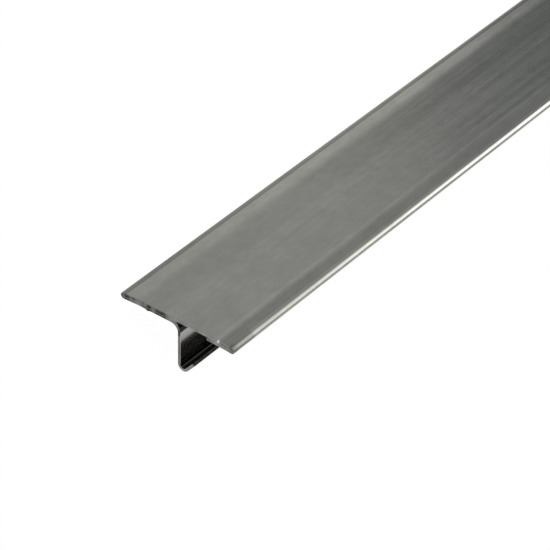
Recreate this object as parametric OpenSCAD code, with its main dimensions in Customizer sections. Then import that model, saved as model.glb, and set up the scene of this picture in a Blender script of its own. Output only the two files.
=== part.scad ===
// Roll-formed stainless steel T-profile: a cover strip for the joint between
// two floor coverings. One strip of sheet is bent into the whole section:
//
//      .--------------- face ---------------.
//      ( ______________        ____________ )
//       '-- left wing  \      |  '- return -'
//                       | stem
//                       |
//                        \_/  hook
//
// The section is drawn upright, with the face at z = 0 and x = 0 in the middle
// of the face, and is then leaned over to lie on the floor as the loose bar
// does, on its left fold and its hook. The bar runs along Y. The origin is
// the middle of the bottom of its bounding box.

/* [Bar] */
// Length of the bar, as sold
bar_length = 1000; // [900:50:3000]
// Width of the face, over both folds
face_w = 25; // [20:0.5:40]
// Height of the section, from the bottom of the hook to the face
section_h = 10.7; // [9:0.1:16]

/* [Strip] */
// Thickness of the steel strip
sheet = 0.6; // [0.4:0.05:0.8]
// Gap left between the two layers behind each fold
fold_gap = 0.1; // [0.05:0.05:0.4]

/* [Face margins] */
// Width of the sloping margin beside each fold
margin_w = 2.6; // [1:0.1:3.5]
// Slope of the margins, in degrees
margin_slope = 3.5; // [2:0.5:6]
// Radius of the soft bend between the flat face and a margin
margin_bend_r = 6; // [3:0.5:10]

/* [Right wing] */
// Width of the flat part of the folded return, inside its sloping margin
return_flat = 2.4; // [1:0.1:3.5]

/* [Stem and hook] */
// Distance from the middle of the face to the middle of the stem
stem_x = 0.5; // [-1:0.05:1]
// Inside radius of the bend from the left wing into the stem
stem_bend_r = 1.5; // [0.8:0.1:2.5]
// Inside radius of the hook
hook_r = 0.6; // [0.5:0.1:1.5]
// Angle that the hook turns through, in degrees
hook_turn = 140; // [90:5:160]
// Length of the straight lip that ends the hook
lip = 2.5; // [0.5:0.1:3]

/* [Hidden] */
facet_angle = 6; // widest turn that one facet of a bend makes
steel = [0.62, 0.61, 0.58];

// Middle-of-sheet radii of the bends.
fold_mid_r = (sheet + fold_gap) / 2;
layer_step = sheet + fold_gap;
upper_bend_mid_r = margin_bend_r - sheet / 2;
lower_bend_mid_r = upper_bend_mid_r - layer_step;
stem_mid_r = stem_bend_r + sheet / 2;
hook_mid_r = hook_r + sheet / 2;
fold_outer_r = fold_mid_r + sheet / 2;
hook_outer_r = hook_mid_r + sheet / 2;

// Half the width of the flat part of the face.
flat_half_w = face_w / 2 - fold_outer_r - margin_w * cos(margin_slope)
    - (upper_bend_mid_r - fold_mid_r) * sin(margin_slope);
lower_layer_z = -sheet / 2 - layer_step;
return_edge_x = flat_half_w - return_flat;
stem_straight = section_h + lower_layer_z - stem_mid_r - hook_outer_r;

// The strip from its free edge under the right wing to the tip of the lip.
// A straight is [length, 0]. A bend is [middle radius, turn], left-hand turns
// being positive.
strip_steps = [
    [return_flat, 0],
    [lower_bend_mid_r, -margin_slope],
    [margin_w, 0],
    [fold_mid_r, 180],
    [margin_w, 0],
    [upper_bend_mid_r, margin_slope],
    [2 * flat_half_w, 0],
    [upper_bend_mid_r, margin_slope],
    [margin_w, 0],
    [fold_mid_r, 180],
    [margin_w, 0],
    [lower_bend_mid_r, -margin_slope],
    [flat_half_w + stem_x - stem_mid_r, 0],
    [stem_mid_r, -90],
    [stem_straight, 0],
    [hook_mid_r, hook_turn],
    [lip, 0]
];

// A station is [x, z, heading]: a point on the middle of the sheet and the
// direction in which the strip leaves it.
function after_straight(from, length) =
    [from[0] + length * cos(from[2]), from[1] + length * sin(from[2]), from[2]];

function after_bend(from, radius, turn) =
    let (side = sign(turn), heading = from[2] + turn)
    [
        from[0] + side * radius * (sin(heading) - sin(from[2])),
        from[1] - side * radius * (cos(heading) - cos(from[2])),
        heading
    ];

function stations(from, steps, i = 0) =
    i == len(steps) ? [from] :
    let (size = steps[i][0], turn = steps[i][1])
    turn == 0 ?
        concat([from], stations(after_straight(from, size), steps, i + 1)) :
        let (facets = ceil(abs(turn) / facet_angle))
        concat(
            [for (k = [0 : facets - 1]) after_bend(from, size, turn * k / facets)],
            stations(after_bend(from, size, turn), steps, i + 1)
        );

// The points half a sheet to one side of the stations.
function one_side(path, side) = [
    for (s = path)
        [s[0] - side * sheet / 2 * sin(s[2]), s[1] + side * sheet / 2 * cos(s[2])]
];

function reversed(list) = [for (i = [len(list) - 1 : -1 : 0]) list[i]];

function outline(path) = concat(one_side(path, -1), reversed(one_side(path, 1)));

// The floor touches the left fold and the hook, so it is the common tangent of
// their outer arcs, whose centres are these.
fold_centre = [
    -(face_w / 2 - fold_outer_r),
    -sheet / 2 - upper_bend_mid_r * (1 - cos(margin_slope))
        - margin_w * sin(margin_slope) - fold_mid_r * cos(margin_slope)
];
hook_centre = [stem_x + hook_mid_r, hook_outer_r - section_h];
fold_to_hook = hook_centre - fold_centre;
lean = -atan2(fold_to_hook[1], fold_to_hook[0])
    + asin((hook_outer_r - fold_outer_r) / norm(fold_to_hook));

function leaned(points) = [
    for (p = points)
        [p[0] * cos(lean) - p[1] * sin(lean), p[0] * sin(lean) + p[1] * cos(lean)]
];

// Moves points so that their box stands on z = 0 with its middle at x = 0.
function on_floor(points) =
    let (xs = [for (p = points) p[0]], zs = [for (p = points) p[1]])
    let (middle = (min(xs) + max(xs)) / 2, bottom = min(zs))
    [for (p = points) [p[0] - middle, p[1] - bottom]];

module t_profile() {
    path = stations([return_edge_x, lower_layer_z, 0], strip_steps);
    color(steel)
        translate([0, bar_length / 2, 0])
            rotate([90, 0, 0])
                linear_extrude(bar_length)
                    polygon(on_floor(leaned(outline(path))));
}

t_profile();
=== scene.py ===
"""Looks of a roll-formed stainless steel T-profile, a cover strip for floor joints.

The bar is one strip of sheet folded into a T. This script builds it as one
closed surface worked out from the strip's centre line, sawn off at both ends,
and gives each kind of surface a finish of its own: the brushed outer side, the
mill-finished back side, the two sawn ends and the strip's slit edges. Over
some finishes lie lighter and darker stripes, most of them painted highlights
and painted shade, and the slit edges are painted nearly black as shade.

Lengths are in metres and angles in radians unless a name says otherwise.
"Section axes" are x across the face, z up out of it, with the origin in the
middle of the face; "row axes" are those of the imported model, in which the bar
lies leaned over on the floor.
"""

import logging
import math
from dataclasses import dataclass, replace
from enum import Enum, IntEnum

import bmesh
import bpy
import numpy as np
from mathutils import Matrix, Vector

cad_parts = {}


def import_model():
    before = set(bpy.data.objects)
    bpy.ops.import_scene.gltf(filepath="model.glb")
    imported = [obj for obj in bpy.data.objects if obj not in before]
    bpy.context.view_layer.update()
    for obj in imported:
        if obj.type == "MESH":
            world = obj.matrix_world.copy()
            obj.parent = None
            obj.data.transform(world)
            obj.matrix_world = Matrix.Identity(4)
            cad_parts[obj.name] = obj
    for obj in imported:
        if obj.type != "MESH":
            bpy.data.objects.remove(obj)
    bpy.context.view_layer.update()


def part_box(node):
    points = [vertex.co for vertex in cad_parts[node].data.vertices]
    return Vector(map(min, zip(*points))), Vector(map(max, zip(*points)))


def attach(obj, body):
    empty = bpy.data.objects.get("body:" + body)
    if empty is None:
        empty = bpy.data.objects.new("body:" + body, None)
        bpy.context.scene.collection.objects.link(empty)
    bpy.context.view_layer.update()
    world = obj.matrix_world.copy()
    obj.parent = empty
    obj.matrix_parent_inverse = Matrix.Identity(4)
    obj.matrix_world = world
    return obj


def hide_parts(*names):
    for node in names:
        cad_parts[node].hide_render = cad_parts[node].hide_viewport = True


NODE = "t_profile"
STRIP_UV = "strip"
MM = 1e-3
MERGE = 1e-4 * MM
SHARP = math.radians(40)
WING_FADE = 0.6 * MM

# Levels of noise that count as none and as full.
GRAIN_SPREAD = (0.25, 0.75)
CLOUD_SPREAD = (0.3, 0.7)

Pair = tuple[float, float]
Triple = tuple[float, float, float]
Socket = bpy.types.NodeSocket

log = logging.getLogger("t_profile")


# --- The section of the bar ---


def smooth_step(low: float, high: float, value: np.ndarray) -> np.ndarray:
    """Eases from 0 at low to 1 at high, which may be lower, by 3t^2 - 2t^3."""
    t = np.clip((value - low) / (high - low), 0.0, 1.0)
    return t * t * (3.0 - 2.0 * t)


class Step(IntEnum):
    """The steps of the strip that shades go by, and its end."""

    RETURN = 0
    RIGHT_FOLD = 3
    RIGHT_MARGIN = 4
    RIGHT_BEND = 5
    FACE = 6
    LEFT_MARGIN = 8
    LEFT_FOLD = 9
    LEFT_LOWER_MARGIN = 10
    WING_UNDERSIDE = 12
    STEM_BEND = 13
    STEM = 14
    HOOK = 15
    END = 17


@dataclass(frozen=True)
class CentreLine:
    """The middle of the sheet, followed through the whole section.

    Attributes:
        place: Points in section axes, one row each.
        heading: Direction in which the strip runs at each point.
        along: Distance along the strip to each point.
    """

    place: np.ndarray
    heading: np.ndarray
    along: np.ndarray

    def side(self) -> np.ndarray:
        """Unit vectors to the left of the strip, towards its back side."""
        return np.stack([-np.sin(self.heading), np.cos(self.heading)], axis=1)


@dataclass(frozen=True)
class Section:
    """The folded strip's sizes.

    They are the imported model's, except that the left margin's bend is spread
    out, which moves the margin by less than 0.05 mm.
    """

    face_w: float = 25 * MM
    height: float = 10.7 * MM
    sheet: float = 0.6 * MM
    fold_gap: float = 0.1 * MM
    margin_w: float = 2.6 * MM
    margin_slope: float = math.radians(3.5)
    right_bend_r: float = 6 * MM
    left_bend_r: float = 20 * MM
    return_flat: float = 2.4 * MM
    stem_x: float = 0.5 * MM
    stem_bend_r: float = 1.5 * MM
    hook_r: float = 0.6 * MM
    hook_turn: float = math.radians(140)
    lip: float = 2.5 * MM
    straight_step: float = 0.15 * MM
    bend_step: float = math.radians(5)

    @property
    def layer_step(self) -> float:
        """Distance between the middles of two layers of sheet."""
        return self.sheet + self.fold_gap

    @property
    def fold_outer_r(self) -> float:
        """Outside radius of the folds at both edges of the face."""
        return self.sheet + self.fold_gap / 2

    @property
    def hook_outer_r(self) -> float:
        """Outside radius of the hook."""
        return self.hook_r + self.sheet

    @property
    def flat_right(self) -> float:
        """How far the flat part of the face reaches right of its middle."""
        return self.flat_reach(self.right_bend_r)

    @property
    def flat_left(self) -> float:
        """How far the flat part of the face reaches left of its middle."""
        return self.flat_reach(self.left_bend_r)

    def flat_reach(self, bend_r: float) -> float:
        """Distance from the face's middle to a margin's bend of that radius."""
        rise = bend_r - self.sheet / 2 - self.layer_step / 2
        return (self.face_w / 2 - self.fold_outer_r
                - self.margin_w * math.cos(self.margin_slope)
                - rise * math.sin(self.margin_slope))

    def steps(self) -> list[Pair]:
        """The strip from the free edge of its return to the tip of its lip.

        Returns:
            A (length, 0) pair for each straight and a (middle radius, turn)
            pair for each bend, left-hand turns being positive.
        """
        right = self.right_bend_r - self.sheet / 2
        left = self.left_bend_r - self.sheet / 2
        fold = self.layer_step / 2
        stem = self.stem_bend_r + self.sheet / 2
        hook = self.hook_r + self.sheet / 2
        slope = self.margin_slope
        stem_flat = (self.height - self.sheet / 2 - self.layer_step - stem
                     - self.hook_outer_r)
        return [
            (self.return_flat, 0.0),
            (right - self.layer_step, -slope),
            (self.margin_w, 0.0),
            (fold, math.pi),
            (self.margin_w, 0.0),
            (right, slope),
            (self.flat_right + self.flat_left, 0.0),
            (left, slope),
            (self.margin_w, 0.0),
            (fold, math.pi),
            (self.margin_w, 0.0),
            (left - self.layer_step, -slope),
            (self.flat_left + self.stem_x - stem, 0.0),
            (stem, -math.pi / 2),
            (stem_flat, 0.0),
            (hook, self.hook_turn),
            (self.lip, 0.0),
        ]

    def step_starts(self) -> list[float]:
        """Distances along the strip at which its steps start, and its end."""
        lengths = [size * abs(turn) if turn else size
                   for size, turn in self.steps()]
        return [0.0, *np.cumsum(lengths).tolist()]

    def centre_line(self) -> CentreLine:
        """Follows the strip step by step.

        On a straight the point moves by length * (cos h, sin h). On a bend of
        radius r it moves by r * (sin h - sin h0, cos h0 - cos h), with the
        sign of the turn.

        Returns:
            The centre line, in section axes.
        """
        place = np.array([self.flat_right - self.return_flat,
                          -self.sheet / 2 - self.layer_step])
        heading, along = 0.0, 0.0
        places, headings, alongs = [place[None]], [np.zeros(1)], [np.zeros(1)]
        for size, turn in self.steps():
            parts = (abs(turn) / self.bend_step if turn
                     else size / self.straight_step)
            t = np.linspace(0, 1, max(2, math.ceil(parts)) + 1)[1:]
            turned = heading + turn * t
            if turn:
                swing = np.stack([np.sin(turned) - math.sin(heading),
                                  math.cos(heading) - np.cos(turned)], axis=1)
                run = place + math.copysign(size, turn) * swing
                length = size * abs(turn)
            else:
                way = [math.cos(heading), math.sin(heading)]
                run = place + size * t[:, None] * way
                length = size
            places.append(run)
            headings.append(turned)
            alongs.append(along + length * t)
            place, heading, along = run[-1], heading + turn, along + length
        return CentreLine(np.vstack(places), np.concatenate(headings),
                          np.concatenate(alongs))

    def lean(self) -> float:
        """Angle that the bar leans over by, on its left fold and its hook.

        The floor is the common tangent of the outer arcs of the two.
        """
        slope = self.margin_slope
        upper = self.left_bend_r - self.sheet / 2
        fold_x = -(self.face_w / 2 - self.fold_outer_r)
        fold_z = (-self.sheet / 2 - upper * (1 - math.cos(slope))
                  - self.margin_w * math.sin(slope)
                  - self.layer_step / 2 * math.cos(slope))
        hook_x = self.stem_x + self.hook_r + self.sheet / 2
        hook_z = self.hook_outer_r - self.height
        run, rise = hook_x - fold_x, hook_z - fold_z
        spread = (self.hook_outer_r - self.fold_outer_r) / math.hypot(run, rise)
        return -math.atan2(rise, run) + math.asin(spread)


@dataclass(frozen=True)
class Placing:
    """Takes section axes to row axes: a lean about Y and a shift."""

    lean: float
    shift: Pair
    near_end: float

    @classmethod
    def on_floor(cls, section: Section, low: Vector, high: Vector) -> "Placing":
        """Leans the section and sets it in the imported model's box.

        Args:
            section: The bar's section.
            low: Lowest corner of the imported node.
            high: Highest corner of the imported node.

        Returns:
            The placing that fills that box.
        """
        line = section.centre_line()
        half = section.sheet / 2 * line.side()
        outline = np.vstack([line.place - half, line.place + half])
        lean = section.lean()
        x = outline[:, 0] * math.cos(lean) - outline[:, 1] * math.sin(lean)
        z = outline[:, 0] * math.sin(lean) + outline[:, 1] * math.cos(lean)
        shift = ((low.x + high.x) / 2 - (x.min() + x.max()) / 2,
                 low.z - z.min())
        return cls(lean, shift, low.y)

    def matrix(self) -> Matrix:
        """The placing as a 4x4 matrix, with y counted from the near end."""
        turn = Matrix.Rotation(-self.lean, 4, "Y")
        move = Matrix.Translation((self.shift[0], self.near_end, self.shift[1]))
        return move @ turn

    def points(self, places: np.ndarray) -> np.ndarray:
        """Takes points, one row each, from section axes to row axes."""
        placed = np.array(self.matrix())
        return places @ placed[:3, :3].T + placed[:3, 3]


# --- The sawn ends ---


@dataclass(frozen=True)
class Lump:
    """A place on a sawn end where the metal is torn, pushed out or broken.

    Attributes:
        x: Where it is, across the face.
        width: How wide it is.
        height: How far it opens, stands out or is broken back. A tear below
            0 swells the two layers together.
    """

    x: float
    width: float
    height: float

    def swell(self, x: np.ndarray) -> np.ndarray:
        """Its height at each x: height * exp(-(2 * (x - middle) / width)^2)."""
        return self.height * np.exp(-((x - self.x) / (self.width / 2)) ** 2)


@dataclass(frozen=True)
class SawCut:
    """What the saw leaves at one end of the bar.

    Attributes:
        tears: Places where it tears the two layers of a wing apart or swells
            them together.
        burrs: Lumps that it pushes out of the left wing's underside.
        nicks: Places where it breaks the edge of the face.
        seed: Seed of the saw marks.
        marks: Depth of the saw marks.
        edge_r: Radius of the cut's worn edge.
        smear: How much of the fold gap it smears shut elsewhere.
        tear_reach: How far the torn or smeared part runs into the bar.
        burr_reach: How far a burr runs along the bar.
        mark_reach: How far behind the cut its marks have died away.
        mark_waves: How many waves its marks are made of.
        mark_pitch: Length of the longest of them.
        mark_fall: Height of each as a share of the one before.
    """

    tears: tuple[Lump, ...]
    burrs: tuple[Lump, ...]
    nicks: tuple[Lump, ...]
    seed: int
    marks: float = 0.03 * MM
    edge_r: float = 0.06 * MM
    smear: float = 0.09 * MM
    tear_reach: float = 0.9 * MM
    burr_reach: float = 0.35 * MM
    mark_reach: float = 0.5 * MM
    mark_waves: int = 4
    mark_pitch: float = 1.6 * MM
    mark_fall: float = 0.7

    def saw_marks(self, x: np.ndarray, z: np.ndarray) -> np.ndarray:
        """Depth of the marks, from 0 to marks, at points of the section.

        It is a sum of sine waves in seeded directions, each half as long as
        the one before and mark_fall times as high, moved to lie above zero.

        Args:
            x: Places across the section.
            z: Places up the section.

        Returns:
            The depths.
        """
        rng = np.random.default_rng(self.seed)
        total, top, wave_height, pitch = 0 * x, 0.0, 1.0, self.mark_pitch
        for _ in range(self.mark_waves):
            turn, phase = rng.uniform(0, 2 * math.pi, 2)
            wave = (x * math.cos(turn) + z * math.sin(turn)) / pitch
            total = total + wave_height * np.sin(2 * math.pi * wave + phase)
            top += wave_height
            wave_height, pitch = wave_height * self.mark_fall, pitch / 2
        return self.marks * (total + top) / (2 * top)


# --- Mesh building ---


def grid(rows: np.ndarray, columns: np.ndarray) -> np.ndarray:
    """Pairs each row's value with each column's, as a grid of (row, column)."""
    return np.stack(np.broadcast_arrays(rows[:, None], columns), axis=-1)


def linked(name: str, data: bpy.types.ID) -> bpy.types.Object:
    """Makes an object of the data and links it to the scene."""
    made = bpy.data.objects.new(name, data)
    bpy.context.scene.collection.objects.link(made)
    return made


class Surface(Enum):
    """The kinds of surface on the bar, in the order of its material slots.

    BRUSHED is the strip's outer side. MILL is its back side, which lies inside
    the folds, to the right of the stem and inside the hook. SAWN is the far
    end. The near end has patches of smudge, painted shade at the stem's bend
    and a painted glint. SLIT is the strip's two long edges, painted nearly
    black as shade.
    """

    BRUSHED = 0
    MILL = 1
    SAWN = 2
    SMUDGED_AND_PAINTED = 3
    SLIT = 4


@dataclass(frozen=True)
class Patch:
    """One grid of points on the strip's surface, with its map and finish.

    Attributes:
        points: Grid of points in section axes, shape (rows, columns, 3).
        strip: Grid of (across, along) distances on the sheet, in metres.
        surface: The finish that it takes.
        flip: Whether its quads have to be turned over to face outwards.
    """

    points: np.ndarray
    strip: np.ndarray
    surface: Surface
    flip: bool

    def quads(self, first: int) -> np.ndarray:
        """The grid's quads, its points being numbered from first."""
        rows, columns = self.points.shape[:2]
        index = first + np.arange(rows * columns).reshape(rows, columns)
        quads = np.stack([index[:-1, :-1], index[1:, :-1], index[1:, 1:],
                          index[:-1, 1:]], axis=-1).reshape(-1, 4)
        return quads[:, ::-1] if self.flip else quads


@dataclass
class TProfileBar:
    """The whole bar: one folded strip, sawn off at both ends.

    Attributes:
        section: Its section.
        placing: Where the section lies in row axes.
        length: Its length.
        near_cut: The end that faces the viewer.
        far_cut: The other end.
        box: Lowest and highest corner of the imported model, in row axes.
        layers: Steps through the thickness of the sheet on the cuts.
        middle_rings: Rings along the plain part of the bar.
        end_rings: Distances from a cut of the rings near it.
        left_parting: How far past the start of the stem's bend the left
            wing's second layer starts to end and has ended.
        right_parting: How far past the return's free edge the right wing's
            second layer starts and is complete.
        nick_shares: Share of the sheet at which a nick starts and is full.
    """

    section: Section
    placing: Placing
    length: float
    near_cut: SawCut
    far_cut: SawCut
    box: tuple[Vector, Vector]
    layers: int = 8
    middle_rings: int = 24
    end_rings: tuple[float, ...] = (0.0, 0.01 * MM, 0.03 * MM, 0.06 * MM,
                                    0.12 * MM, 0.22 * MM, 0.36 * MM, 0.55 * MM,
                                    0.8 * MM, 1.2 * MM, 2 * MM)
    left_parting: Pair = (1.0 * MM, 1.8 * MM)
    right_parting: Pair = (-0.1 * MM, 0.3 * MM)
    nick_shares: Pair = (0.2, -1.0)

    @property
    def lower_bend_x(self) -> float:
        """Where the left wing's lower layer starts to bend into the stem."""
        section = self.section
        return section.stem_x - section.stem_bend_r - section.sheet / 2

    def rings(self) -> np.ndarray:
        """Places of the rings along the bar, from its near end."""
        ends = np.array(self.end_rings)
        middle = np.linspace(ends[-1], self.length - ends[-1],
                             self.middle_rings + 2)[1:-1]
        return np.concatenate([ends, middle, (self.length - ends)[::-1]])

    def doubled(self, line: CentreLine) -> np.ndarray:
        """1 where the sheet lies in two layers, 0 where it is single."""
        x, z = line.place.T
        return_x = self.section.flat_right - self.section.return_flat
        near, far = self.left_parting
        left = smooth_step(self.lower_bend_x + far,
                           self.lower_bend_x + near, x)
        near, far = self.right_parting
        right = smooth_step(return_x + near, return_x + far, x)
        wings = z > -2 * self.section.layer_step - self.section.sheet
        return np.maximum(left, right) * wings

    def thickness(self, line: CentreLine, share: np.ndarray,
                  cut: SawCut, depth: np.ndarray) -> np.ndarray:
        """How far a cut moves the sheet's two sides, outwards from its middle.

        Towards the cut the edge is rounded off as a quarter circle. The back
        sides of two layers recede at a tear and swell shut between tears, and
        the left wing's underside swells at a burr.

        Args:
            line: The centre line.
            share: -1 on the outer side of the sheet, +1 on its back side.
            cut: The cut.
            depth: Distance from the cut.

        Returns:
            Moves of shape (len(line), len(share), len(depth)).
        """
        x, z = line.place.T
        back, outer = np.clip(share, 0, 1), np.clip(-share, 0, 1)
        inside = np.clip(1 - depth / cut.edge_r, 0, 1)
        worn = cut.edge_r * (1 - np.sqrt(1 - inside ** 2))
        opening = sum(tear.swell(x) for tear in cut.tears) - cut.smear
        opened = opening * self.doubled(line) / 2
        torn = smooth_step(cut.tear_reach, 0, depth)
        underside = (z < -self.section.sheet) & (x < self.lower_bend_x)
        burr = sum(burr.swell(x) for burr in cut.burrs) * underside
        grown = smooth_step(cut.burr_reach, 0, depth)
        return (-np.abs(share)[None, :, None] * worn
                - opened[:, None, None] * back[None, :, None] * torn
                + burr[:, None, None] * outer[None, :, None] * grown)

    def broken_back(self, line: CentreLine, share: np.ndarray,
                    cut: SawCut, depth: np.ndarray) -> np.ndarray:
        """How far a cut's marks and nicks move the surface into the bar."""
        half = self.section.sheet / 2 * share
        x, z = (line.place.T[:, :, None]
                + half * line.side().T[:, :, None])
        face = line.place[:, 1:] > -self.section.sheet
        nicks = sum(nick.swell(x) for nick in cut.nicks) * face
        moved = (cut.saw_marks(x, z)
                 + nicks * smooth_step(*self.nick_shares, share))
        return moved[:, :, None] * smooth_step(cut.mark_reach, 0, depth)

    def solid(self, line: CentreLine, share: np.ndarray,
              y: np.ndarray) -> np.ndarray:
        """Points of the strip as a solid, by three parameters at once.

        A point is the centre line's place plus share times half the sheet
        along the line's side, at y along the bar, moved by both cuts.

        Args:
            line: The centre line.
            share: -1 on the outer side of the sheet, +1 on its back side.
            y: Distance from the near end.

        Returns:
            Points of shape (len(line), len(share), len(y), 3).
        """
        offset = self.section.sheet / 2 * share[None, :, None]
        place_y = np.broadcast_to(y, (len(line.along), len(share), len(y)))
        cuts = ((self.near_cut, y, 1), (self.far_cut, self.length - y, -1))
        for cut, depth, inwards in cuts:
            grown = self.thickness(line, share, cut, depth)
            offset = offset + np.sign(share)[None, :, None] * grown
            moved = self.broken_back(line, share, cut, depth)
            place_y = place_y + inwards * moved
        place = (line.place[:, None, None, :]
                 + offset[..., None] * line.side()[:, None, None, :])
        return np.stack([place[..., 0], place_y, place[..., 1]], axis=-1)

    def patches(self) -> list[Patch]:
        """The six sides of the strip, which is a block bent to shape."""
        line = self.section.centre_line()
        y = self.rings()
        share = np.linspace(-1, 1, self.layers + 1)
        solid = self.solid(line, share, y)
        half = self.section.sheet / 2
        across = grid(line.along, y)
        through = grid(half * share, y)
        cut = grid(line.along, half * share)
        return [
            Patch(solid[:, 0], across, Surface.BRUSHED, True),
            Patch(solid[:, -1], across, Surface.MILL, False),
            Patch(solid[0], through, Surface.SLIT, False),
            Patch(solid[-1], through, Surface.SLIT, True),
            Patch(solid[:, :, 0], cut, Surface.SMUDGED_AND_PAINTED, False),
            Patch(solid[:, :, -1], cut, Surface.SAWN, True),
        ]

    def build(self) -> bpy.types.Object:
        """Builds the closed surface of the strip as one mesh.

        The patches share their border points, which are merged. The map of
        the sheet is laid along with them, so that a grain can follow the
        strip round its bends.

        Returns:
            The bar's object, at the origin, with its place in its mesh.
        """
        points, strips, faces, kinds, first = [], [], [], [], 0
        for patch in self.patches():
            quads = patch.quads(first)
            faces.append(quads)
            kinds.append(np.full(len(quads), patch.surface.value))
            points.append(patch.points.reshape(-1, 3))
            strips.append(patch.strip.reshape(-1, 2))
            first += len(points[-1])
        placed = self.placing.points(np.vstack(points))
        placed = np.clip(placed, *(np.array(corner) for corner in self.box))
        faces = np.vstack(faces)
        mesh = bpy.data.meshes.new("t_profile_strip")
        mesh.from_pydata(placed.tolist(), [], faces.tolist())
        mesh.polygons.foreach_set("material_index",
                                  np.concatenate(kinds).astype(np.int32))
        laid = np.vstack(strips)[faces.ravel()].astype(np.float32)
        mesh.uv_layers.new(name=STRIP_UV).uv.foreach_set("vector", laid.ravel())
        merged = bmesh.new()
        merged.from_mesh(mesh)
        bmesh.ops.remove_doubles(merged, verts=merged.verts, dist=MERGE)
        log.info("strip: %d quads, %.1f mm3, %d open edges", len(merged.faces),
                 merged.calc_volume(signed=True) / MM ** 3,
                 sum(not edge.is_manifold for edge in merged.edges))
        merged.to_mesh(mesh)
        merged.free()
        mesh.shade_smooth()
        mesh.set_sharp_from_angle(angle=SHARP)
        return linked("t_profile_strip", mesh)


# --- Finishes ---


@dataclass(frozen=True)
class Nodes:
    """Adds nodes to one node tree and links them."""

    tree: bpy.types.NodeTree

    def add(self, kind: str, inputs: dict | None = None,
            **settings: object) -> bpy.types.Node:
        """Adds a node.

        Args:
            kind: The node's type.
            inputs: What goes into its inputs, by name or number: a socket,
                which is linked, or a value.
            **settings: The node's own settings.

        Returns:
            The node.
        """
        node = self.tree.nodes.new(kind)
        for name, value in settings.items():
            setattr(node, name, value)
        self.feed(node, inputs or {})
        return node

    def feed(self, node: bpy.types.Node, inputs: dict) -> None:
        """Links sockets to a node's inputs and sets values on them."""
        for key, value in inputs.items():
            if isinstance(value, Socket):
                self.tree.links.new(value, node.inputs[key])
            else:
                node.inputs[key].default_value = value

    def ease(self, value: Socket, low: float, high: float,
             to: tuple[object, object] = (0.0, 1.0)) -> Socket:
        """Takes low..high smoothly to the two values of to."""
        node = self.add("ShaderNodeMapRange", {
            "Value": value, "From Min": low, "From Max": high,
            "To Min": to[0], "To Max": to[1],
        }, interpolation_type="SMOOTHSTEP")
        return node.outputs["Result"]

    def sums(self, operation: str, *values: object) -> Socket:
        """Does arithmetic on sockets or numbers."""
        node = self.add("ShaderNodeMath", dict(enumerate(values)),
                        operation=operation)
        return node.outputs[0]

    def weigh(self, patterns: tuple[Socket, ...],
              weights: tuple[float, ...]) -> Socket:
        """Adds patterns up, each times its weight."""
        total = self.sums("MULTIPLY", patterns[0], weights[0])
        for pattern, weight in zip(patterns[1:], weights[1:]):
            total = self.sums("MULTIPLY_ADD", pattern, weight, total)
        return total

    def blend(self, share: Socket, low: object,
              high: object) -> Socket:
        """Mixes two colours by share."""
        node = self.add("ShaderNodeMix", {0: share, 6: low, 7: high},
                        data_type="RGBA")
        return node.outputs[2]


def new_group(name: str, inputs: dict[str, str], outputs: dict[str, str],
              ) -> tuple[bpy.types.NodeTree, Nodes, bpy.types.Node]:
    """Makes a node group with sockets of the given kinds, by name.

    Returns:
        The group, a builder for it, and its input node.
    """
    group = bpy.data.node_groups.new(name, "ShaderNodeTree")
    for side, sockets in (("INPUT", inputs), ("OUTPUT", outputs)):
        for label, kind in sockets.items():
            group.interface.new_socket(label, in_out=side,
                                       socket_type="NodeSocket" + kind)
    nodes = Nodes(group)
    return group, nodes, nodes.add("NodeGroupInput")


def belt_grain_group() -> bpy.types.NodeTree:
    """The lines that a polishing belt leaves along the strip.

    The strip's map is divided by the width and the run of the lines, so that
    round noise becomes long streaks. Hairs are the single scratches and bands
    the broader stripes that the belt polishes more or less.
    """
    lines = {"Strip": "Vector", "Hair width": "Float", "Hair run": "Float",
             "Band width": "Float", "Band run": "Float"}
    group, nodes, given = new_group("belt_grain", lines,
                                    {"Hairs": "Float", "Bands": "Float"})
    drawn = {}
    for kind, detail in (("Hair", 3.0), ("Band", 2.0)):
        pitch = nodes.add("ShaderNodeCombineXYZ", {
            "X": given.outputs[kind + " width"],
            "Y": given.outputs[kind + " run"], "Z": 1.0})
        stretched = nodes.add("ShaderNodeVectorMath", {
            0: given.outputs["Strip"], 1: pitch.outputs[0]},
            operation="DIVIDE")
        noise = nodes.add("ShaderNodeTexNoise", {
            "Vector": stretched.outputs[0], "Scale": 1.0, "Detail": detail,
            "Roughness": 0.6}, noise_dimensions="2D")
        drawn[kind + "s"] = nodes.ease(noise.outputs[0], *GRAIN_SPREAD)
    nodes.add("NodeGroupOutput", drawn)
    return group


def clouded(nodes: Nodes, clouds: bpy.types.NodeTree, place: Socket,
            size: float) -> Socket:
    """Adds the clouds group and returns its pattern."""
    return nodes.add("ShaderNodeGroup", {"Place": place, "Size": size},
                     node_tree=clouds).outputs["Clouds"]


def cloud_group() -> bpy.types.NodeTree:
    """Soft cloudy patches, as handling and rolling oil leave on metal."""
    group, nodes, given = new_group(
        "clouds", {"Place": "Vector", "Size": "Float"}, {"Clouds": "Float"})
    scale = nodes.sums("DIVIDE", 1.0, given.outputs["Size"])
    noise = nodes.add("ShaderNodeTexNoise", {
        "Vector": given.outputs["Place"], "Scale": scale, "Detail": 4.0,
        "Roughness": 0.65})
    nodes.add("NodeGroupOutput", {
        "Clouds": nodes.ease(noise.outputs[0], *CLOUD_SPREAD)})
    return group


@dataclass(frozen=True)
class Shade:
    """A lighter or darker stripe along the bar: a painted highlight, painted shade
    or a smudge.

    Attributes:
        start: Where it starts, as a distance along the strip.
        end: Where it ends.
        tone: What it multiplies the metal's colour by.
        fade: Width of its soft borders, which lie outside it.
        run: How far it runs from the near end, or None for the whole bar.
        run_fade: Length over which it dies away beyond that.
    """

    start: float
    end: float
    tone: float
    fade: float = 0.15 * MM
    run: float | None = None
    run_fade: float = 1.0 * MM


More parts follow.
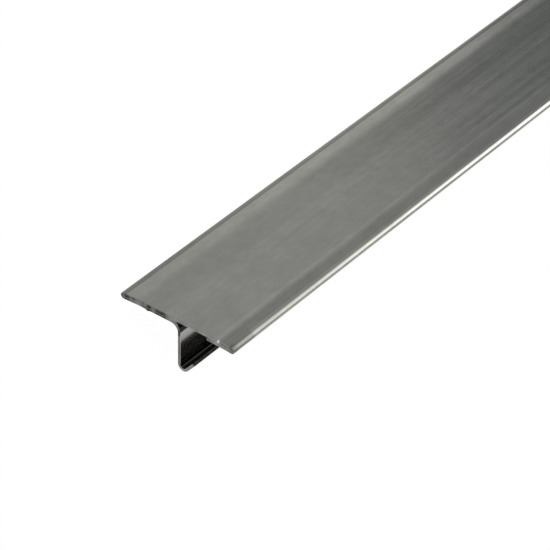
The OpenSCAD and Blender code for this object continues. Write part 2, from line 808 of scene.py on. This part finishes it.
def shaded(nodes: Nodes, colour: Socket,
           strip: Socket,
           shades: list[Shade]) -> Socket:
    """Lays shades over a colour.

    Args:
        nodes: Builder of the material's tree.
        colour: The plain colour.
        strip: The strip's map.
        shades: The shades.

    Returns:
        The shaded colour.
    """
    place = nodes.add("ShaderNodeSeparateXYZ", {0: strip}).outputs
    for shade in shades:
        middle = (shade.start + shade.end) / 2
        reach = (shade.end - shade.start) / 2
        away = nodes.sums("ABSOLUTE",
                          nodes.sums("SUBTRACT", place["X"], middle))
        tone = shade.tone
        if shade.run is not None:
            tone = nodes.ease(place["Y"], shade.run,
                              shade.run + shade.run_fade, (tone, 1.0))
        share = nodes.ease(away, reach + shade.fade, reach, (1.0, tone))
        colour = nodes.add("ShaderNodeVectorMath", {
            0: colour, "Scale": share}, operation="SCALE").outputs[0]
    return colour


def wing_shades(section: Section, x: float, width: float,
                tone: float) -> list[Shade]:
    """Shades of the left wing's two layers, width wide at half strength."""
    at = section.step_starts()
    fade = min(width, WING_FADE)
    reach = (width - fade) / 2
    middles = (at[Step.FACE] + section.flat_right - x,
               at[Step.WING_UNDERSIDE] + section.flat_left + x)
    return [Shade(middle - reach, middle + reach, tone, fade)
            for middle in middles]


def new_metal(name: str) -> tuple[bpy.types.Material, Nodes, bpy.types.Node]:
    """Makes a metal material, a builder for its tree, and its shader."""
    material = bpy.data.materials.new(name)
    material.use_nodes = True
    nodes = Nodes(material.node_tree)
    shader = material.node_tree.nodes["Principled BSDF"]
    nodes.feed(shader, {"Metallic": 1.0})
    return material, nodes, shader


@dataclass(frozen=True)
class RolledFinish:
    """The finish of one side of the sheet.

    Attributes:
        name: The material's name.
        dark: Its darkest colour.
        light: Its lightest colour.
        smooth: Its roughness where it shines most.
        dull: Its roughness where it is dullest.
        anisotropy: How much the grain draws highlights out across it.
        edge_tint: How much of its shine is left at a glancing angle.
        scratch: Depth of the lines.
        hair: Width and run of the hairs.
        band: Width and run of the bands.
        mottle: Width of its finest patches.
        mottle_draw: How many times as long as wide they are.
        cloud: Size of its broadest patches.
        tone_weights: Weights of its broad patches, its fine patches, the
            bands and the hairs in its colour.
        dull_weights: Weights of the hairs and the bands in its roughness.
        depth_weights: Weights of the hairs and the bands in its height.
    """

    name: str
    dark: Triple
    light: Triple
    smooth: float
    dull: float
    anisotropy: float
    edge_tint: float
    scratch: float
    hair: Pair
    band: Pair
    mottle: float = 1.1 * MM
    mottle_draw: float = 2.5
    cloud: float = 9 * MM
    tone_weights: tuple[float, float, float, float] = (0.35, 0.3, 0.1, 0.15)
    dull_weights: Pair = (0.5, 0.5)
    depth_weights: Pair = (0.2, 0.6)

    def material(self, grain: bpy.types.NodeTree, clouds: bpy.types.NodeTree,
                 shades: list[Shade]) -> bpy.types.Material:
        """Makes the material from the shared groups.

        Args:
            grain: The belt_grain group.
            clouds: The clouds group.
            shades: Stripes along it, most of them painted highlights and painted
                shade.

        Returns:
            The material.
        """
        material, nodes, shader = new_metal(self.name)
        strip = nodes.add("ShaderNodeUVMap", uv_map=STRIP_UV).outputs["UV"]
        place = nodes.add("ShaderNodeTexCoord").outputs["Object"]
        lines = nodes.add("ShaderNodeGroup", {
            "Strip": strip, "Hair width": self.hair[0],
            "Hair run": self.hair[1], "Band width": self.band[0],
            "Band run": self.band[1]}, node_tree=grain)
        hairs, bands = lines.outputs["Hairs"], lines.outputs["Bands"]
        drawn = nodes.add("ShaderNodeVectorMath", {
            0: strip, 1: (1.0, 1 / self.mottle_draw, 1.0)},
            operation="MULTIPLY").outputs[0]
        tone = nodes.weigh((clouded(nodes, clouds, place, self.cloud),
                            clouded(nodes, clouds, drawn, self.mottle),
                            bands, hairs), self.tone_weights)
        colour = nodes.blend(tone, (*self.dark, 1), (*self.light, 1))
        colour = shaded(nodes, colour, strip, shades)
        dullness = nodes.weigh((hairs, bands), self.dull_weights)
        rough = nodes.ease(dullness, 0.0, 1.0, (self.smooth, self.dull))
        height = nodes.weigh((hairs, bands), self.depth_weights)
        bump = nodes.add("ShaderNodeBump", {
            "Height": height, "Strength": 1.0, "Distance": self.scratch})
        tangent = nodes.add("ShaderNodeTangent", direction_type="UV_MAP",
                            uv_map=STRIP_UV)
        nodes.feed(shader, {
            "Base Color": colour, "Roughness": rough,
            "Normal": bump.outputs[0], "Tangent": tangent.outputs[0],
            "Anisotropic": self.anisotropy,
            "Specular Tint": (*(self.edge_tint,) * 3, 1)})
        return material


@dataclass(frozen=True)
class SawnFinish:
    """Bare metal at a cut: dull, cloudy, with darker patches of smudge.

    Attributes:
        name: The material's name.
        smudge: Colour of the patches of smudge.
        bare: Colour of the clean metal.
        smooth: Its lowest roughness.
        dull: Its highest roughness.
        smudge_size: How big the smudges are.
        scratch: Depth of its scratches.
        grit: Width of its scratches.
    """

    name: str
    smudge: Triple
    bare: Triple
    smooth: float
    dull: float
    smudge_size: float
    scratch: float
    grit: float = 0.12 * MM

    def material(self, clouds: bpy.types.NodeTree,
                 shades: list[Shade]) -> bpy.types.Material:
        """Makes the material from the clouds group.

        Args:
            clouds: The clouds group.
            shades: Darker and lighter places on it, a painted glint and painted
                shade among them.

        Returns:
            The material.
        """
        material, nodes, shader = new_metal(self.name)
        place = nodes.add("ShaderNodeTexCoord").outputs["Object"]
        soft = clouded(nodes, clouds, place, self.smudge_size)
        fine = nodes.add("ShaderNodeTexNoise", {
            "Vector": place, "Scale": 1 / self.grit, "Detail": 3.0})
        colour = nodes.blend(soft, (*self.smudge, 1), (*self.bare, 1))
        strip = nodes.add("ShaderNodeUVMap", uv_map=STRIP_UV).outputs["UV"]
        colour = shaded(nodes, colour, strip, shades)
        rough = nodes.ease(soft, 0.0, 1.0, (self.dull, self.smooth))
        bump = nodes.add("ShaderNodeBump", {
            "Height": fine.outputs[0], "Strength": 1.0,
            "Distance": self.scratch})
        nodes.feed(shader, {"Base Color": colour, "Roughness": rough,
                            "Normal": bump.outputs[0]})
        return material


# --- The studio ---


@dataclass(frozen=True)
class Viewpoint:
    """Where the camera stands, in section axes with y from the near end.

    Attributes:
        eye: Place of the camera.
        azimuth: Turn to the left of the bar's direction.
        elevation: Angle that it looks down by.
        roll: Turn about its own axis.
        lens: Focal length in millimetres, on a 36 mm sensor.
    """

    eye: Triple
    azimuth: float
    elevation: float
    roll: float
    lens: float

    def camera(self, placing: Placing) -> None:
        """Makes the camera.

        It looks along (-sin a cos e, cos a cos e, -sin e), with its right
        along (cos a, sin a, 0) before the roll.

        Args:
            placing: Where the section lies in row axes.
        """
        sin_a, cos_a = math.sin(self.azimuth), math.cos(self.azimuth)
        sin_e, cos_e = math.sin(self.elevation), math.cos(self.elevation)
        right = Vector((cos_a, sin_a, 0))
        forward = Vector((-sin_a * cos_e, cos_a * cos_e, -sin_e))
        up = right.cross(forward)
        aim = Matrix((right, up, -forward)).transposed().to_4x4()
        turn = Matrix.Rotation(self.roll, 4, "Z")
        data = bpy.data.cameras.new("camera")
        data.lens = self.lens
        camera = linked("camera", data)
        camera.matrix_world = (placing.matrix() @ Matrix.Translation(self.eye)
                               @ aim @ turn)
        bpy.context.scene.camera = camera


@dataclass(frozen=True)
class Panel:
    """A round soft-edged patch of the surroundings.

    Attributes:
        towards: Direction of its middle.
        outer_deg: Degrees from its middle at which it starts.
        inner_deg: Degrees within which it is full.
        colour: Its colour and brightness.
    """

    towards: Triple
    outer_deg: float
    inner_deg: float
    colour: Triple


@dataclass(frozen=True)
class Studio:
    """A pale floor between grey walls, under a soft sky and one soft lamp.

    Attributes:
        walls: Greys of the surroundings by height, as (sine of the height
            angle, level).
        panels: Patches that lie over the walls.
        floor_half: Half the side of the floor.
        floor_tone: Colour of the floor.
        floor_glow: Share of its own light in what the camera sees of it.
        floor_white: Brightness of that light, which with the rest is white.
        gleam: Brightness of the floor in polished metal, painted by place as a
            shadow of the bar: in front of the bar, beside it, and to the right of
            that painted shadow.
        gleam_run: Places along the bar between which the first gives way to
            the second.
        gleam_edge: Places across the bar between which the painted shadow ends.
        lamp_from: Direction of the lamp.
        lamp_away: Its distance.
        lamp_size: Its side.
        lamp_power: Its power in watts.
    """

    walls: tuple[Pair, ...]
    panels: tuple[Panel, ...]
    floor_half: float = 20.0
    floor_tone: float = 0.85
    floor_glow: float = 0.98
    floor_white: float = 1.01
    gleam: Triple = (0.68, 1.2, 1.05)
    gleam_run: Pair = (-0.55, -0.33)
    gleam_edge: Pair = (15 * MM, 18 * MM)
    lamp_from: Triple = (-0.15, 0.83, 0.54)
    lamp_away: float = 3.0
    lamp_size: float = 1.8
    lamp_power: float = 5.0

    def shine(self, nodes: Nodes) -> tuple[Socket, Socket]:
        """Brightness and share of the floor's own light, by kind of ray."""
        path = nodes.add("ShaderNodeLightPath")
        seen = path.outputs["Is Camera Ray"]
        shiny = nodes.sums("MAXIMUM", path.outputs["Is Glossy Ray"],
                           path.outputs["Is Transmission Ray"])
        place = nodes.add("ShaderNodeTexCoord").outputs["Object"]
        place = nodes.add("ShaderNodeSeparateXYZ", {0: place}).outputs
        # Painted shadow: the floor's light seen in metal is set by place, along and
        # across the bar.
        beside = nodes.ease(place["Y"], *self.gleam_run, self.gleam[:2])
        gleam = nodes.ease(place["X"], *self.gleam_edge,
                           (beside, self.gleam[2]))
        light = nodes.add("ShaderNodeMix", {
            0: seen, 2: gleam, 3: self.floor_white}).outputs[0]
        return (light,
                nodes.sums("MULTIPLY_ADD", seen, self.floor_glow, shiny))

    def floor(self) -> bpy.types.Object:
        """Makes the floor, a flat square at height 0."""
        half = self.floor_half
        corners = [(-half, -half, 0), (half, -half, 0), (half, half, 0),
                   (-half, half, 0)]
        mesh = bpy.data.meshes.new("floor")
        mesh.from_pydata(corners, [], [(0, 1, 2, 3)])
        material = bpy.data.materials.new("pale_floor")
        material.use_nodes = True
        nodes = Nodes(material.node_tree)
        plain = nodes.add("ShaderNodeBsdfDiffuse", {
            "Color": (self.floor_tone,) * 3 + (1,)})
        light, share = self.shine(nodes)
        white = nodes.add("ShaderNodeEmission", {"Strength": light})
        mixed = nodes.add("ShaderNodeMixShader", {
            0: share, 1: plain.outputs[0], 2: white.outputs[0]})
        nodes.feed(nodes.tree.nodes["Material Output"], {0: mixed.outputs[0]})
        mesh.materials.append(material)
        return linked("floor", mesh)

    def world(self) -> None:
        """Makes the surroundings, which the camera itself sees as white."""
        world = bpy.data.worlds.new("studio")
        world.use_nodes = True
        nodes = Nodes(world.node_tree)
        outwards = nodes.add("ShaderNodeTexCoord").outputs["Generated"]
        rise = nodes.add("ShaderNodeSeparateXYZ", {0: outwards}).outputs["Z"]
        ramp = nodes.add("ShaderNodeValToRGB", {0: rise})
        stops = ramp.color_ramp.elements
        while len(stops) < len(self.walls):
            stops.new(1.0)
        for stop, (height, level) in zip(stops, self.walls):
            stop.position = height
            stop.color = (level,) * 3 + (1,)
        around = ramp.outputs[0]
        for panel in self.panels:
            facing = nodes.add("ShaderNodeVectorMath", {
                0: outwards, 1: Vector(panel.towards).normalized()},
                operation="DOT_PRODUCT").outputs["Value"]
            share = nodes.ease(facing, math.cos(math.radians(panel.outer_deg)),
                               math.cos(math.radians(panel.inner_deg)))
            around = nodes.blend(share, around, (*panel.colour, 1))
        soft = nodes.tree.nodes["Background"]
        nodes.feed(soft, {"Color": around})
        white = nodes.add("ShaderNodeBackground", {"Color": (1, 1, 1, 1)})
        path = nodes.add("ShaderNodeLightPath")
        mixed = nodes.add("ShaderNodeMixShader", {
            0: path.outputs["Is Camera Ray"], 1: soft.outputs[0],
            2: white.outputs[0]})
        nodes.feed(nodes.tree.nodes["World Output"], {0: mixed.outputs[0]})
        bpy.context.scene.world = world

    def lamp(self, target: Vector) -> None:
        """Makes the soft lamp, aimed at the target."""
        data = bpy.data.lights.new("soft_lamp", "AREA")
        data.size = self.lamp_size
        data.energy = self.lamp_power
        lamp = linked("soft_lamp", data)
        outwards = Vector(self.lamp_from).normalized()
        aim = outwards.to_track_quat("Z", "Y").to_matrix().to_4x4()
        lamp.matrix_world = (
            Matrix.Translation(target + outwards * self.lamp_away) @ aim)
        lamp.visible_camera = False


# --- The bar's own values ---

NEAR_CUT = SawCut(
    tears=(
        Lump(-11.2 * MM, 1.0 * MM, 0.2 * MM),
        Lump(-6.2 * MM, 0.8 * MM, 0.25 * MM),
        Lump(-3.7 * MM, 1.8 * MM, 0.25 * MM),
        Lump(-0.4 * MM, 1.0 * MM, -0.3 * MM),
    ),
    burrs=(Lump(-6.5 * MM, 0.7 * MM, 0.22 * MM),),
    nicks=(Lump(9.0 * MM, 0.5 * MM, 0.3 * MM),),
    seed=7,
)

FAR_CUT = SawCut(tears=(), burrs=(), nicks=(), seed=11)

BRUSHED = RolledFinish(
    name="brushed_steel", dark=(0.326, 0.325, 0.302),
    light=(0.426, 0.424, 0.396), smooth=0.15, dull=0.22, anisotropy=0.4,
    edge_tint=0.25, scratch=0.0033 * MM, hair=(0.22 * MM, 50 * MM),
    band=(1.1 * MM, 160 * MM),
)

MILL = RolledFinish(
    name="mill_steel", dark=(0.33, 0.325, 0.31), light=(0.4, 0.395, 0.375),
    smooth=0.12, dull=0.2, anisotropy=0.3, edge_tint=0.4,
    scratch=0.001 * MM,
    hair=(0.3 * MM, 30 * MM), band=(2.0 * MM, 120 * MM),
)

SAWN = SawnFinish(
    name="sawn_steel", smudge=(0.26, 0.26, 0.21), bare=(0.41, 0.41, 0.43),
    smooth=0.38, dull=0.6, smudge_size=0.9 * MM, scratch=0.01 * MM,
)

# The near end's material: patches of smudge, with painted shade at the stem's bend
# and a painted glint laid over them.
SMUDGED_AND_PAINTED = replace(SAWN, name="smudged_and_painted_steel")

# Nearly black: painted shade on the strip's slit edges.
SLIT = replace(SAWN, name="slit_steel", smudge=(0.03, 0.03, 0.025),
               bare=(0.07, 0.07, 0.06))

VIEWPOINT = Viewpoint(
    eye=(0.24167, -0.29028, 0.30094), azimuth=math.radians(37.2778),
    elevation=math.radians(37.6353), roll=math.radians(1.3367), lens=186.325,
)

STUDIO = Studio(
    walls=((0.0, 0.85), (0.1, 0.73), (0.2, 0.63), (0.245, 0.675), (0.325, 0.33),
           (0.55, 0.5), (1.0, 0.4)),
    panels=(
        Panel((0.1, 0.65, 0.75), 52, 42, (0.68, 0.68, 0.67)),
        Panel((0.1, 1.0, 0.15), 46.5, 32, (2.4, 2.4, 2.36)),
        Panel((0.76, 0.61, 0.2), 27, 18, (0.35, 0.35, 0.34)),
        Panel((-0.717, 0.697, 0.010), 7.6, 5.6, (1.2, 1.2, 1.18)),
        Panel((-0.556, 0.811, 0.182), 12.1, 10.1, (0.24, 0.26, 0.275)),
    ),
)


def outer_painted_light_and_lines(section: Section) -> list[Shade]:
    """Painted highlights and painted shade on the outer side, on its folds, margins
    and face, with thin lines along the face.
    """
    at = section.step_starts()
    right_fold, right_margin = at[Step.RIGHT_FOLD], at[Step.RIGHT_MARGIN]
    left_margin, left_fold = at[Step.LEFT_MARGIN], at[Step.LEFT_FOLD]
    face = at[Step.FACE]
    # Rows: a painted sheen at the right margin's bend, three thin lines, and
    # painted shade about 3.5 to 7.3 mm left of the face's middle.
    # Start and end on the flat of the face, in mm, then tone, and fade in mm.
    stripes = ((-0.5, 0.5, 1.1, 0.3), (4.8, 4.9, 0.97, 0.2),
               (8.6, 8.7, 0.97, 0.2), (9.5, 9.6, 1.03, 0.3),
               (12.4, 16.2, 0.93, 1.5))
    return [
        # Painted highlight along the right fold.
        Shade(right_fold, right_margin, 1.4),
        # The right fold is darker over its first 6 mm from the near end.
        *(Shade(right_fold, right_margin + 0.3 * MM, tone, 0.5 * MM,
                run * MM, fade * MM)
          for tone, run, fade in ((0.76, 5.2, 0.8), (0.7, 0.2, 1.6))),
        # Painted highlight on the margin just inside the right fold.
        Shade(right_margin + 0.1 * MM, right_margin + 0.4 * MM, 1.25, 0.4 * MM),
        *(Shade(face + start * MM, face + end * MM, tone, fade * MM)
          for start, end, tone, fade in stripes),
        # Painted shade over the left margin.
        Shade(left_margin, left_fold, 0.97, 0.5 * MM),
        # Painted shade: a dark line just inside the left fold.
        Shade(left_fold - 0.55 * MM, left_fold - 0.25 * MM, 0.65, 0.42 * MM),
        # Painted shade on the left fold, dying away over 80 mm from the near end.
        Shade(left_fold - 0.08 * MM, at[Step.LEFT_LOWER_MARGIN], 0.9,
              0.15 * MM, 15 * MM, 65 * MM),
    ]


def back_painted_shade(section: Section) -> list[Shade]:
    """Painted shade on the back side, in the stem's bend and in the hook."""
    at = section.step_starts()
    return [
        # Painted shade in the hollow of the stem's bend.
        Shade(at[Step.STEM_BEND] + 0.8 * MM, at[Step.STEM] - 0.3 * MM, 0.2,
              0.3 * MM),
        # Painted shade inside the hook.
        Shade(at[Step.HOOK], at[Step.END], 0.3, 0.5 * MM),
    ]


def smudges_and_painted_light(section: Section) -> list[Shade]:
    """Patches of smudge on the near end, from its return round to its stem, with
    painted shade at the stem's bend and a painted glint by the right bend.
    """
    at = section.step_starts()
    edge, stem = at[Step.RETURN], at[Step.STEM]
    right_fold, right_margin = at[Step.RIGHT_FOLD], at[Step.RIGHT_MARGIN]
    right_bend = at[Step.RIGHT_BEND]
    # Middle across the face and width, both in mm, and tone.
    wing = ((-7.2, 11.0, 0.72), (-11.1, 1.2, 0.38), (-9.7, 0.7, 0.7),
            (-7.35, 0.7, 0.65), (-6.2, 1.0, 0.3), (-3.6, 2.2, 0.36))
    return [
        Shade(edge, edge + 1.0 * MM, 0.75, 0.8 * MM),
        *(shade for x, width, tone in wing
          for shade in wing_shades(section, x * MM, width * MM, tone)),
        # Painted shade in the wedge at the stem's bend, darkest where the bend
        # meets the stem.
        Shade(at[Step.STEM_BEND], stem - 0.6 * MM, 0.75, 0.3 * MM),
        Shade(stem - 0.3 * MM, stem + 0.4 * MM, 0.25, 0.4 * MM),
        Shade(stem + 0.4 * MM, at[Step.HOOK], 0.7, 0.4 * MM),
        Shade(right_fold - 0.2 * MM, right_margin + 0.9 * MM, 0.7, 0.5 * MM),
        Shade(right_bend - 1.2 * MM, right_bend - 0.6 * MM, 0.7, 0.5 * MM),
        # Painted glint on the face sheet's cut, by the right margin's bend.
        Shade(right_bend + 0.2 * MM, right_bend + 0.4 * MM, 2.4, 0.2 * MM),
    ]


def finishes(section: Section) -> dict[Surface, bpy.types.Material]:
    """Makes the material of each kind of surface."""
    grain, clouds = belt_grain_group(), cloud_group()
    return {
        Surface.BRUSHED: BRUSHED.material(grain, clouds, outer_painted_light_and_lines(section)),
        Surface.MILL: MILL.material(grain, clouds, back_painted_shade(section)),
        Surface.SAWN: SAWN.material(clouds, []),
        Surface.SMUDGED_AND_PAINTED: SMUDGED_AND_PAINTED.material(clouds, smudges_and_painted_light(section)),
        Surface.SLIT: SLIT.material(clouds, []),
    }


def main() -> None:
    """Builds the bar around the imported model, and the studio round it."""
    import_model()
    low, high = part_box(NODE)
    section = Section()
    placing = Placing.on_floor(section, low, high)
    bar = TProfileBar(section, placing, high.y - low.y, NEAR_CUT, FAR_CUT,
                      (low, high))
    strip = bar.build()
    materials = finishes(section)
    for surface in Surface:
        strip.data.materials.append(materials[surface])
    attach(strip, "root")
    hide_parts(NODE)
    log.info("%s stands for %s", strip.name, NODE)

    STUDIO.floor()
    STUDIO.world()
    STUDIO.lamp(Vector(((low.x + high.x) / 2, low.y, high.z / 2)))
    VIEWPOINT.camera(placing)
    bpy.context.scene.view_settings.view_transform = "Standard"
    log.info("studio and camera are in place")


if __name__ == "__main__":
    logging.basicConfig(level=logging.INFO, format="%(message)s")
    main()
